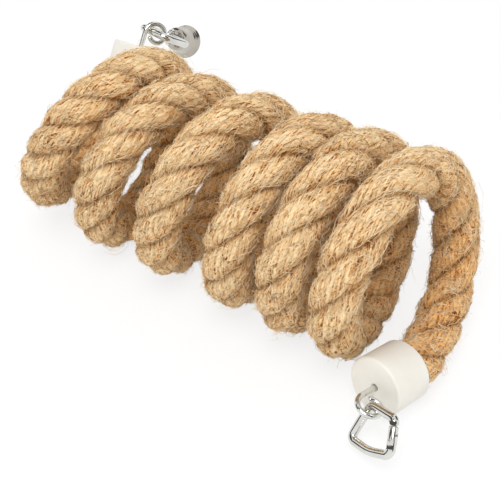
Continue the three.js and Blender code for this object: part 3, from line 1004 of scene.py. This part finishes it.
class PERCH_OT_rope(bpy.types.Operator):
    """Lay the strands of the rope along the spiral and put the spring wire inside it"""

    bl_idname = "perch.rope"
    bl_label = "Rope and core"

    def inner_shade(self, points, at, skin):
        """How far each point of the skin faces the spiral's inside, from 0 to 1: where the painted inner
        shade goes.
        """
        height = (points[:, 2].min() + points[:, 2].max()) / 2
        outward = points[:, 1:] - np.array((rest_point().y, height))
        outward /= np.linalg.norm(outward, axis=1)[:, None]
        off_middle = (skin - points[at])[:, 1:] / (settings().rope.diameter / 2)
        return np.clip(0.5 - 0.5 * (off_middle * outward[at]).sum(axis=1), 0, 1)

    def execute(self, context):
        rope = settings().rope
        points, places, sides, ups = rope_route()
        count = len(points)
        angles = np.tile(np.arange(ROPE_SIDES) * 2 * math.pi / ROPE_SIDES, count)
        at = np.repeat(np.arange(count), ROPE_SIDES)
        skin, groove_shade = rope_surface_points(places[at], angles, points[at], sides[at], ups[at])
        skin = on_floor(skin, 0.0)
        inner_shade = self.inner_shade(points, at, skin)
        closed = np.concatenate((skin, points[:1], points[-1:]))
        walls, fans = tube_faces(count, ROPE_SIDES)
        piece = mesh_piece("rope_strands", closed, walls + fans)
        half = rope.diameter / 2 / MM
        place = np.stack((places[at] / MM, half * np.cos(angles), half * np.sin(angles)), axis=1)
        ends = np.array([(places[0] / MM, 0, 0), (places[-1] / MM, 0, 0)])
        # the painted groove shade and inner shade at the two middle points that close the rope's ends
        end_tones = (ROPE_END_TONE, ROPE_END_TONE)
        write_attribute(piece, "rope_place", "FLOAT_VECTOR", np.concatenate((place, ends)))
        write_attribute(piece, "rope_recess", "FLOAT", np.concatenate((groove_shade, end_tones)))
        write_attribute(piece, "rope_shelter", "FLOAT", np.concatenate((inner_shade, end_tones)))
        finish_piece(piece, Matrix(), laid_jute(), smooth_angle=180)
        stretch_with_spiral(piece)
        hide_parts("rope")

        core = bend_wire("core_spring", [Vector(point) for point in points[2:-2:3]], rope.core)
        finish_piece(core, Matrix(), spring_steel())
        stretch_with_spiral(core)
        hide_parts("core_wire")
        return {"FINISHED"}


def fibre_mesh(name, rings, widths):
    """Thin three-sided fibres, pointed at both ends, from rings of middle points (fibre, ring, xyz)."""
    fibres, steps, _ = rings.shape
    ahead = np.gradient(rings, axis=1)
    ahead /= np.linalg.norm(ahead, axis=2)[..., None]
    helper = np.where(np.abs(ahead[..., 2:]) > STEEP, (1.0, 0.0, 0.0), (0.0, 0.0, 1.0))
    side = np.cross(ahead, helper)
    side /= np.linalg.norm(side, axis=2)[..., None]
    up = np.cross(ahead, side)
    corners = []
    for corner in range(3):
        turn = 2 * math.pi * corner / 3
        reach = widths[:, None, None] / 2
        corners.append(rings + reach * (side * math.cos(turn) + up * math.sin(turn)))
    middle = np.stack(corners, axis=2)[:, 1:-1]
    per_fibre = 3 * (steps - 2) + 2
    tips = rings[:, [0, -1]]
    points = np.concatenate((middle.reshape(fibres, -1, 3), tips), axis=1).reshape(-1, 3)
    walls, fans = tube_faces(steps - 2, 3)
    base = (np.arange(fibres) * per_fibre)[:, None, None]
    faces = (base + np.array(walls)).reshape(-1, 4).tolist()
    faces += (base + np.array(fans)).reshape(-1, 3).tolist()
    return mesh_piece(name, points, faces), per_fibre


class PERCH_OT_fibres(bpy.types.Operator):
    """Scatter loose jute fibres along the strands, and stray ones that stand off them"""

    bl_idname = "perch.fibres"
    bl_label = "Loose fibres"

    def scatter(self, kind):
        rope, cap = settings().rope, settings().cap
        count = getattr(rope, kind.name)
        chance = np.random.default_rng(kind.seed)
        points, places, sides, ups = rope_route()
        first = cap.length - cap.end_wall + CAP_MARGIN
        last = places[-1] - first
        start = chance.uniform(first, last, count)
        reaches = chance.lognormal(math.log(kind.reach * MM), LENGTH_SPREAD, count)[:, None]
        heading = chance.normal(0, kind.tilt, count)[:, None]
        along = np.linspace(0, 1, kind.points)[None]
        bend = chance.normal(0, kind.curl, (count, 1)) * (along - 0.5) ** 2
        bend = bend + chance.normal(0, kind.curl * WIGGLE, (count, 1)) * np.sin(2 * math.pi * along)
        place = start[:, None] + reaches * (along * np.cos(heading) + bend / 2)
        place = np.clip(place, first, last)
        sweep = reaches * (along * np.sin(heading) + bend)
        angle = chance.uniform(0, 2 * math.pi, count)[:, None] + sweep / (rope.diameter / 2)
        low, high = kind.lifts
        peak = chance.uniform(low * MM, high * MM, (count, 1)) * chance.uniform(*LIFT_SHARES, (count, 1))
        shape = along**STRAY_RISE if kind.stands else np.sin(math.pi * along)
        lift = peak * shape - FIBRE_FOOT * (1 - shape)
        at = np.clip(np.rint(place / (places[1] - places[0])), 0, len(places) - 1).astype(int).ravel()
        found, groove_shade = rope_surface_points(
            place.ravel(), angle.ravel(), points[at], sides[at], ups[at], lift.ravel()
        )
        found = on_floor(found, FIBRE_REST).reshape(count, kind.points, 3)
        groove_shade = groove_shade.reshape(count, kind.points).mean(axis=1)
        diameter = rope.stray_fibre if kind.stands else rope.fibre
        piece, per_fibre = fibre_mesh(kind.name, found, diameter * chance.uniform(*FIBRE_WIDTHS, count))
        # painted shade: fibres lying in the grooves are made darker by the groove shade there
        tone = np.clip(chance.normal(kind.tone, kind.tone_spread, count) - groove_shade, DARKEST_FIBRE, 1)
        write_attribute(piece, "fibre_tone", "FLOAT", np.repeat(tone, per_fibre))
        finish_piece(piece, Matrix(), loose_jute(), smooth_angle=180)
        stretch_with_spiral(piece)

    def execute(self, context):
        for kind in FIBRE_KINDS:
            self.scatter(kind)
        return {"FINISHED"}


class PERCH_OT_caps(bpy.types.Operator):
    """Turn the moulded caps on the rope's ends"""

    bl_idname = "perch.caps"
    bl_label = "End caps"

    def execute(self, context):
        cap, eye = settings().cap, settings().eye
        bore = settings().rope.diameter / 2 + cap.clearance
        hole = eye.wire / 2 + cap.clearance / 2
        mouth = bore + cap.wall
        face = mouth + cap.flare
        quarter = [math.radians(90 * step / EDGE_STEPS) for step in range(EDGE_STEPS + 1)]
        soft, rounded = cap.mouth_round, cap.face_round
        lip = [(mouth - soft * (1 - math.sin(a)), -cap.length + soft * (1 - math.cos(a))) for a in quarter]
        rim = [(face - rounded * (1 - math.cos(a)), -rounded * (1 - math.sin(a))) for a in quarter]
        outline = [
            (hole, -cap.end_wall),
            (bore, -cap.end_wall),
            (bore, -cap.length + soft),
            (bore + soft, -cap.length),
            *lip,
            *rim,
            (hole + HOLE_EDGE, 0),
            (hole, -HOLE_EDGE),
            (hole, -cap.end_wall),
        ]
        for end, body in (("near", "coil"), ("far", "far_end")):
            piece = turn_on_axis(f"{end}_cap_moulding", outline)
            finish_piece(piece, cap_frame(end), cream_plastic())
            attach(piece, body)
            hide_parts(f"{end}_cap")
        return {"FINISHED"}


class PERCH_OT_eyes(bpy.types.Operator):
    """Bend the pigtail eyes out of the caps"""

    bl_idname = "perch.eyes"
    bl_label = "Wire eyes"

    def execute(self, context):
        cap, eye = settings().cap, settings().eye
        points = [on_axis(-cap.end_wall + SHANK_INSET), on_axis(0), on_axis(eye.neck / 2)]
        for step in range(EYE_STEPS + 1):
            turn = eye.turn * step / EYE_STEPS
            curl = smoothstep(turn, eye.curl_starts, eye.turn)
            radius = eye.radius + (eye.curl_radius - eye.radius) * curl
            a = math.radians(turn)
            points.append(Vector((eye.radius - radius * math.cos(a), 0, eye.neck + radius * math.sin(a))))
        route = catmull(points, steps=6)
        for end, body in (("near", "coil"), ("far", "far_end")):
            piece = bend_wire(f"{end}_pigtail_eye", route, eye.wire)
            finish_piece(piece, cap_frame(end), chrome())
            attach(piece, body)
            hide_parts(f"{end}_eye")
        return {"FINISHED"}


class PERCH_OT_links(bpy.types.Operator):
    """Bend the snap links and hang their forked gates on cross pins"""

    bl_idname = "perch.links"
    bl_label = "Snap links"

    def execute(self, context):
        for end in ("near", "far"):
            self.make(end)
        return {"FINISHED"}

    def make(self, end):
        link, gap = settings().link, settings().cap.clearance
        outline = LinkOutline()
        _, gate_start, _, gate_way = outline.sides[1]
        half, cheek = link.wire / 2, link.tongue / 2
        room = half * math.sqrt(2) + gap
        pivot = Matrix.Translation(outline.pivot.to_3d())
        along_gate = pivot @ Matrix.Rotation(math.atan2(gate_way.y, gate_way.x), 4, "Z")

        route = [point.to_3d() for point in outline.body()]
        body = bend_wire(f"{end}_link_wire", route, link.wire, LINK_END_ROUND)
        for low, high in ((cheek, link.wire), (-link.wire, -cheek)):
            cut_by_box(body, along_gate, (-2 * link.wire, -link.wire, low), (room, link.wire, high))

        nose = gate_start + gate_way * (link.gate_gap + LINK_END_ROUND * link.wire)
        route = [nose, outline.pivot - gate_way * half, outline.pivot + gate_way * half * GATE_TAIL]
        route = [point.to_3d() for point in route]
        gate = bend_wire(f"{end}_link_gate", route, link.wire, LINK_END_ROUND)
        slot = cheek + gap / 2
        cut_by_box(gate, along_gate, (-room, -link.wire, -slot), (2 * link.wire, link.wire, slot))

        pin = link.pin / 2
        lower = [(pin * share, -half - past * MM) for share, past in PIN_HEAD]
        upper = [(pin * share, half + past * MM) for share, past in reversed(PIN_HEAD)]
        cross_pin = turn_on_axis(f"{end}_gate_rivet", lower + upper)
        cross_pin.data.transform(pivot)
        for piece, carrier, node in (
            (body, f"{end}_link_body", f"{end}_link"),
            (gate, f"{end}_gate_body", f"{end}_gate"),
            (cross_pin, f"{end}_link_body", f"{end}_gate_pin"),
        ):
            finish_piece(piece, link_frame(end), chrome(), smooth_angle=40)
            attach(piece, carrier)
            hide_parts(node)


class PERCH_OT_bell(bpy.types.Operator):
    """Turn the bell's shell and bend its wire loop"""

    bl_idname = "perch.bell"
    bl_label = "Bell"

    def beaded(self, point):
        """Radius of the shell at a point of its outline, with the turned beads that run round it."""
        bell = settings().bell
        radius = point.x
        for share, size in BELL_BEADS:
            off = (point.y - share * bell.height) / (bell.bead_width / 2)
            radius += size * bell.bead * math.exp(-(off**2))
        return radius

    def outline(self):
        bell = settings().bell
        hole = bell.loop_wire / 2 + bell.clearance / 2
        mouth, waist, crown = bell.mouth / 2, bell.waist / 2, bell.crown / 2
        shoulder = [(crown + s * (waist - crown), h * bell.height, 0) for s, h in BELL_SHOULDER]
        flare = [(waist + s * (mouth - waist), h * bell.height, 0) for s, h in BELL_FLARE]
        route = catmull([(crown, 0, 0), *shoulder, *flare, (mouth, bell.height, 0)], steps=12)
        outside = [(self.beaded(point), point.y) for point in route]
        inside = [(r - bell.wall, h + bell.wall) for r, h in outside if h + bell.wall < bell.height]
        lip = [(mouth - share * bell.wall, bell.height + past * MM) for share, past in BELL_LIP]
        return [(hole, 0), *outside, *lip, *inside[::-1], (hole, bell.wall), (hole, 0)]

    def execute(self, context):
        bell, span = settings().bell, BellSpan()
        shell = turn_on_axis("bell_shell", self.outline())
        shell.data.transform(Matrix.Translation((0, 0, span.crown_top)))
        finish_piece(shell, bell_frame(), bell_silver(), smooth_angle=40)
        upper = eyelet(bell.loop_play, span.loop_radius, 1)[::-1]
        lower = eyelet(span.hook_centre, span.hook_radius, -1)
        stem = [
            on_axis(span.crown_top - 2 * bell.clearance),
            on_axis(span.crown_top + bell.wall + 2 * bell.clearance),
        ]
        loop = bend_wire("bell_hanger", catmull([*upper, *stem, *lower], steps=5), bell.loop_wire)
        finish_piece(loop, bell_frame(), chrome())
        for piece, node, slot in ((shell, "bell", "bell_metal"), (loop, "bell_loop", "chrome_wire")):
            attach(piece, "bell_body")
            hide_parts(node)
        return {"FINISHED"}


class PERCH_OT_clapper(bpy.types.Operator):
    """Hang the clapper inside the bell"""

    bl_idname = "perch.clapper"
    bl_label = "Clapper"

    def execute(self, context):
        bell, span = settings().bell, BellSpan()
        crosswise = Matrix.Rotation(math.pi / 2, 4, "Z")
        place = bell_frame() @ Matrix.Translation((0, 0, span.clapper_at)) @ crosswise
        ring = eyelet(bell.clapper_play, span.clapper_radius, 1)[::-1]
        ball = bell.ball / 2
        stem = [
            on_axis(bell.clapper_play + 2 * span.clapper_radius),
            on_axis(bell.clapper),
            on_axis(bell.clapper + ball - bell.clearance),
        ]
        hanger = bend_wire("clapper_hanger", catmull([*ring, *stem], steps=5), bell.clapper_wire)
        finish_piece(hanger, place, chrome())
        angles = [math.radians(BALL_FROM + BALL_TURN * step / BALL_STEPS) for step in range(BALL_STEPS + 1)]
        half_round = [(ball * math.sin(a), bell.clapper - ball * math.cos(a)) for a in angles]
        hole = ball * math.sin(angles[0])
        knob = turn_on_axis("clapper_knob", [*half_round, (hole, half_round[0][1]), half_round[0]])
        finish_piece(knob, place, bell_silver(), smooth_angle=60)
        pieces = ((hanger, "clapper_wire", "chrome_wire"), (knob, "clapper_ball", "bell_metal"))
        for piece, node, slot in pieces:
            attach(piece, "clapper")
            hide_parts(node)
        return {"FINISHED"}


class PERCH_OT_stage(bpy.types.Operator):
    """Set up the camera, the pale floor and the soft light"""

    bl_idname = "perch.stage"
    bl_label = "Stage"

    def execute(self, context):
        stage = settings().stage
        scene = bpy.context.scene
        scene.view_settings.view_transform = "Standard"
        deselect_all()
        bpy.ops.object.camera_add(location=rest_point() + Vector(stage.camera))
        camera = bpy.context.object
        camera.rotation_euler = Vector(stage.aim).to_track_quat("-Z", "Y").to_euler()
        camera.data.sensor_width = 36
        camera.data.lens = stage.lens
        camera.data.clip_start = 0.01
        camera.data.clip_end = 50
        scene.camera = camera

        bpy.ops.mesh.primitive_plane_add(size=stage.floor_size, location=(0, 0, -FLOOR_DROP))
        floor = bpy.context.object
        floor.name = "pale_floor"
        floor.data.materials.append(self.floor_material())

        for index, (azimuth, elevation) in enumerate(FLAG_WAYS):
            self.flag(f"flag_{index}", math.radians(azimuth), math.radians(elevation))

        bpy.ops.object.light_add(type="AREA", location=stage.key)
        key = bpy.context.object
        key.data.shape = "DISK"
        key.data.size = KEY_SIZE
        key.data.energy = stage.key_watts
        key.rotation_euler = (STAGE_TARGET - key.location).to_track_quat("-Z", "Y").to_euler()
        self.sky(scene, stage.sky)
        return {"FINISHED"}

    def flag(self, name, azimuth, elevation):
        """A dark card out of the picture that only bright metal mirrors."""
        level = math.cos(elevation)
        way_out = Vector((level * math.cos(azimuth), level * math.sin(azimuth), math.sin(elevation)))
        deselect_all()
        bpy.ops.mesh.primitive_plane_add(size=1)
        card = bpy.context.object
        card.name = name
        place = Matrix.Translation(STAGE_TARGET + way_out * FLAG_DISTANCE)
        turn = way_out.to_track_quat("Z", "Y").to_matrix().to_4x4()
        card.data.transform(place @ turn @ Matrix.Diagonal((*FLAG_SIZE, 1, 1)))
        card.data.materials.append(self.flag_material())
        card.visible_camera = False
        card.visible_diffuse = False
        card.visible_shadow = False

    def flag_material(self):
        if "Dark card" in bpy.data.materials:
            return bpy.data.materials["Dark card"]
        material, tree, shader = new_material("Dark card")
        lit = add(tree, "ShaderNodeEmission", Color=FLAG_TINT, Strength=settings().stage.flag_tone)
        tree.links.new(lit.outputs["Emission"], tree.nodes["Material Output"].inputs["Surface"])
        tree.nodes.remove(shader)
        return material

    def seen_rays(self, tree):
        """1 for rays that show the background: straight to the camera, mirrored or through glass."""
        rays = add(tree, "ShaderNodeLightPath")
        seen = computed(tree, "MAXIMUM", rays.outputs["Is Camera Ray"], rays.outputs["Is Glossy Ray"])
        return computed(tree, "MAXIMUM", seen, rays.outputs["Is Transmission Ray"])

    def sky(self, scene, strength):
        world = bpy.data.worlds.new("Soft studio")
        scene.world = world
        world.use_nodes = True
        tree = world.node_tree
        back = tree.nodes["Background"]
        back.inputs["Color"].default_value = WHITE
        level = mapped(tree, self.seen_rays(tree), low=0, high=1, to_low=strength, to_high=1)
        tree.links.new(level, back.inputs["Strength"])

    def floor_material(self):
        """White to the camera far off, and partly shaded near the spiral, so that a soft shadow stays."""
        finish, stage = settings().finish, settings().stage
        material, tree, shader = new_material("Pale floor", Roughness=0.9, Specular_IOR_Level=0.1)
        shader.inputs["Base Color"].default_value = (*finish.floor, 1)
        lit = add(tree, "ShaderNodeEmission", Color=WHITE, Strength=1.0)
        place = add(tree, "ShaderNodeTexCoord").outputs["Object"]
        distance = add(tree, "ShaderNodeVectorMath", {0: place}, operation="LENGTH").outputs["Value"]
        near, far = FLOOR_FADE
        share = mapped(tree, distance, low=near, high=far, to_low=stage.floor_white, to_high=1)
        seen = computed(tree, "MULTIPLY", self.seen_rays(tree), share)
        sources = {0: seen, 1: shader.outputs["BSDF"], 2: lit.outputs["Emission"]}
        blend = add(tree, "ShaderNodeMixShader", sources)
        tree.links.new(blend.outputs["Shader"], tree.nodes["Material Output"].inputs["Surface"])
        return material


class PERCH_PT_panel(bpy.types.Panel):
    """The perch's pieces, one button each"""

    bl_idname = "PERCH_PT_panel"
    bl_label = "Spiral Rope Perch"
    bl_space_type = "VIEW_3D"
    bl_region_type = "UI"
    bl_category = "Perch"

    def draw(self, context):
        for operator in OPERATORS:
            self.layout.operator(operator.bl_idname, text=operator.bl_label)


OPERATORS = (
    PERCH_OT_stage,
    PERCH_OT_rope,
    PERCH_OT_fibres,
    PERCH_OT_caps,
    PERCH_OT_eyes,
    PERCH_OT_links,
    PERCH_OT_bell,
    PERCH_OT_clapper,
)
CLASSES = (
    PERCH_PG_spiral,
    PERCH_PG_rope,
    PERCH_PG_cap,
    PERCH_PG_eye,
    PERCH_PG_link,
    PERCH_PG_bell,
    PERCH_PG_finish,
    PERCH_PG_stage,
    PERCH_PG_settings,
    *OPERATORS,
    PERCH_PT_panel,
)


def register():
    for item in CLASSES:
        bpy.utils.register_class(item)
    bpy.types.Scene.rope_perch = PointerProperty(type=PERCH_PG_settings)


def unregister():
    del bpy.types.Scene.rope_perch
    for item in reversed(CLASSES):
        bpy.utils.unregister_class(item)


def main():
    register()
    bpy.ops.perch.stage()
    bpy.ops.perch.rope()
    bpy.ops.perch.fibres()
    bpy.ops.perch.caps()
    bpy.ops.perch.eyes()
    bpy.ops.perch.links()
    bpy.ops.perch.bell()
    bpy.ops.perch.clapper()


if __name__ == "__main__":
    main()
